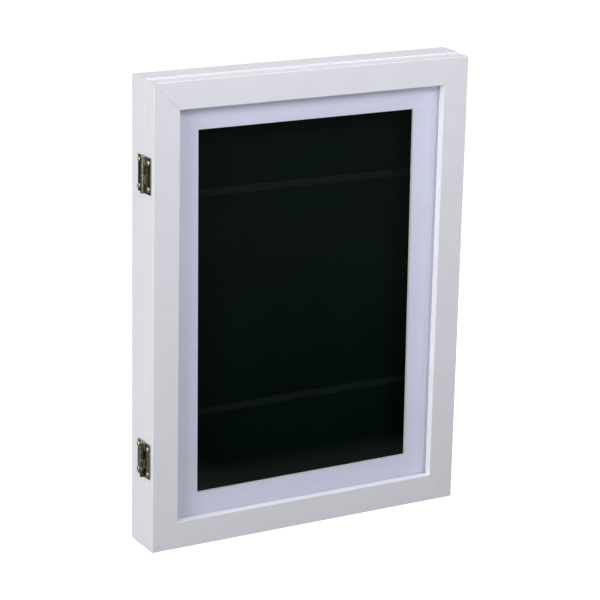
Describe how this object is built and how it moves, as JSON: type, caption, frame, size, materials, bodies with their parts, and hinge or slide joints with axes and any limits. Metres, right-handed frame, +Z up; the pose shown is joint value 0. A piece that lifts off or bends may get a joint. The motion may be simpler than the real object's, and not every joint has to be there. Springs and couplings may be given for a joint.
{
  "type": "front-opening picture storage frame",
  "caption": "Deep white picture frame with a glazed, hinged front door, a bevel-cut mat and elastic straps that store sheets inside.",
  "frame": {"origin": "middle of the frame's width on the face it stands on, half way between the door's front face and the box's back face", "axes": "+Z up, +X along the width to the side away from the hinges, +Y from the door's face back to the wall"},
  "size_m": [0.2567, 0.0366, 0.34],
  "materials": {
    "white_foil": "satin",
    "clear_glass": "polished",
    "mat_card": "matte",
    "black_card": "matte",
    "raw_board": "matte",
    "black_elastic": "matte",
    "bronze": "satin",
    "brass": "satin",
    "steel": "satin"
  },
  "bodies": {
    "box": {"box_rail_left": "white_foil", "box_rail_right": "white_foil", "box_rail_top": "white_foil", "box_rail_bottom": "white_foil", "backing_board": "black_card", "back_panel": "raw_board", "strap_upper": "black_elastic", "strap_lower": "black_elastic", "strap_staple_upper_left": "steel", "strap_staple_upper_right": "steel", "strap_staple_lower_left": "steel", "strap_staple_lower_right": "steel", "box_leaf_upper": "bronze", "box_leaf_lower": "bronze", "hinge_pin_upper": "bronze", "hinge_pin_lower": "bronze", "box_leaf_upper_screw_1": "brass", "box_leaf_upper_screw_2": "brass", "box_leaf_lower_screw_1": "brass", "box_leaf_lower_screw_2": "brass", "magnet_upper": "steel", "magnet_lower": "steel", "panel_point_left_1": "steel", "panel_point_left_2": "steel", "panel_point_right_1": "steel", "panel_point_right_2": "steel", "panel_point_top_1": "steel", "panel_point_bottom_1": "steel", "hanger_portrait": "steel", "hanger_portrait_nail_1": "steel", "hanger_portrait_nail_2": "steel", "hanger_landscape": "steel", "hanger_landscape_nail_1": "steel", "hanger_landscape_nail_2": "steel"},
    "door": {"door_rail_left": "white_foil", "door_rail_right": "white_foil", "door_rail_top": "white_foil", "door_rail_bottom": "white_foil", "glazing": "clear_glass", "mat_board": "mat_card", "glazing_point_left_1": "steel", "glazing_point_left_2": "steel", "glazing_point_right_1": "steel", "glazing_point_right_2": "steel", "glazing_point_top_1": "steel", "glazing_point_bottom_1": "steel", "door_leaf_upper": "bronze", "door_leaf_lower": "bronze", "door_leaf_upper_screw_1": "brass", "door_leaf_upper_screw_2": "brass", "door_leaf_lower_screw_1": "brass", "door_leaf_lower_screw_2": "brass", "strike_upper": "steel", "strike_lower": "steel"}
  },
  "joints": [
    {"name": "door_hinge", "type": "hinge", "parent": "box", "child": "door", "pos_m": [-0.1285, -0.00425, 0.17], "axis": [0, 0, -1], "range_deg": [0, 165]}
  ]
}
